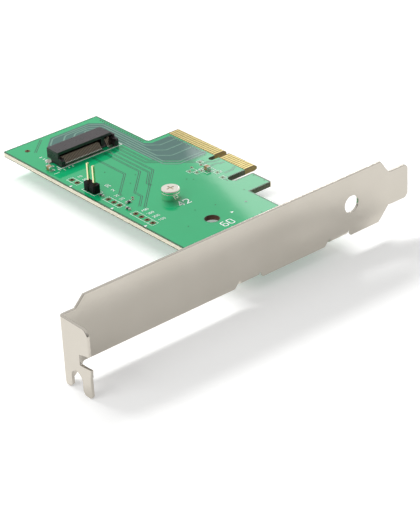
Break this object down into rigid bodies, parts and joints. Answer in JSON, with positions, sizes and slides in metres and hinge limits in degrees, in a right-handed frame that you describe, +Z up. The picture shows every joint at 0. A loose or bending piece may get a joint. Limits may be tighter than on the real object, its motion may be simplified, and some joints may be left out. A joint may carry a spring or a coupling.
{
  "type": "nvme adapter card",
  "caption": "Expansion card that holds an M.2 drive on a green circuit board, with a card edge connector, a drive socket, a standoff, a pin header and a full-height slot bracket.",
  "frame": {"origin": "bottom centre of the whole card's box, at the height of the lower end of the bracket's tab", "axes": "+X runs along the bracket from its screw tab to its tongue, which is also the way the edge connector points; +Y runs from the bracket's outer face to the far end of the board; +Z is up from the board's component side"},
  "size_m": [0.12, 0.1178, 0.0224],
  "materials": {
    "nickel_sheet": "satin nickel plating",
    "green_board": "glass-fibre board with glossy green solder mask",
    "gold_contacts": "gold plating",
    "tinned_copper": "tinned",
    "black_housing": "black moulded polymer",
    "bright_nickel": "bright nickel plating",
    "tan_ceramic": "fired ceramic",
    "dark_ceramic": "coated ceramic"
  },
  "bodies": {
    "root": {"slot_bracket": "nickel_sheet", "circuit_board": "green_board", "edge_contacts_top": "gold_contacts", "edge_contacts_bottom": "gold_contacts", "solder_pads": "tinned_copper", "hole_linings": "tinned_copper", "drive_socket_housing": "black_housing", "drive_socket_lower_pins": "gold_contacts", "drive_socket_upper_pins": "gold_contacts", "drive_socket_solder_tabs": "tinned_copper", "header_base": "black_housing", "header_pins": "gold_contacts", "header_solder": "tinned_copper", "standoff": "bright_nickel", "standoff_screw": "bright_nickel", "standoff_clamp_screw": "bright_nickel", "bracket_screw_tab_side": "bright_nickel", "bracket_screw_tongue_side": "bright_nickel", "capacitor_bodies": "tan_ceramic", "capacitor_end_caps": "tinned_copper", "resistor_bodies": "dark_ceramic", "resistor_end_caps": "tinned_copper"}
  },
  "joints": []
}
